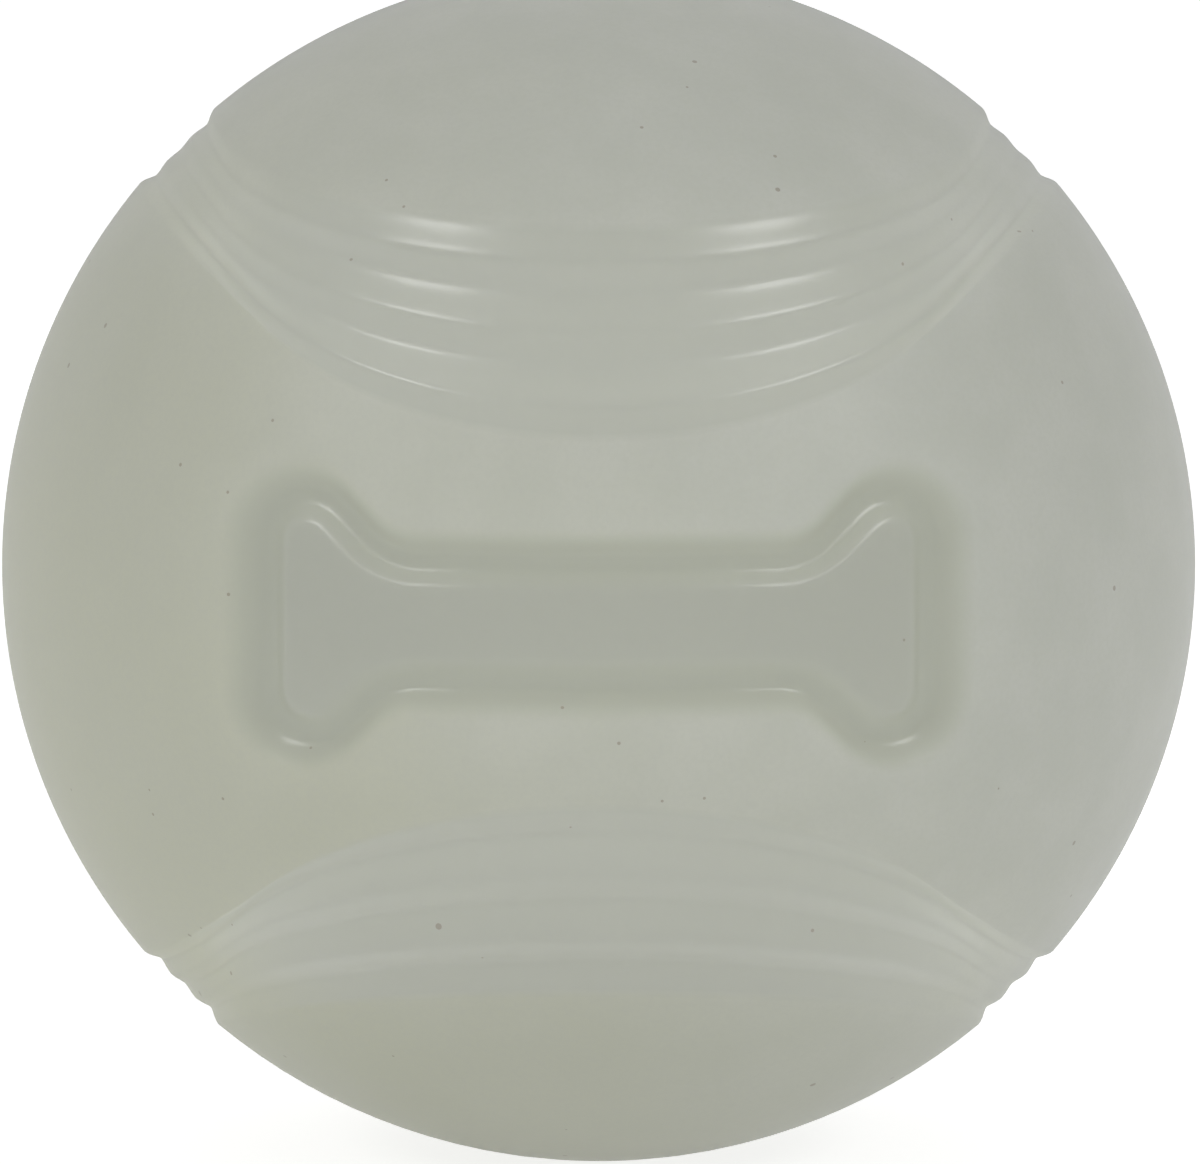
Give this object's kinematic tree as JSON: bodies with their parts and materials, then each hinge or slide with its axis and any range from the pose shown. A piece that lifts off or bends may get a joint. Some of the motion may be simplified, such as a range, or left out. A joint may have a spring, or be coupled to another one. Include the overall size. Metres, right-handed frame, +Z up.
{
  "type": "dog fetch ball",
  "caption": "Hollow moulded rubber fetch ball for dogs, with ribbed grooves that curve round it like a tennis ball's seam and a bare waisted panel sunk in each face.",
  "frame": {"origin": "centre of the ball", "axes": "+Z up, -Y through the middle of the front face with its panel level along X, the seam between the two halves in the XZ plane"},
  "size_m": [0.065, 0.0644, 0.065],
  "materials": {
    "shell_rubber": "satin moulded",
    "seam_cement": "buffed flush outside, raw bead inside"
  },
  "bodies": {
    "root": {"front_half_shell": "shell_rubber", "rear_half_shell": "shell_rubber", "seam_cement": "seam_cement"}
  },
  "joints": []
}
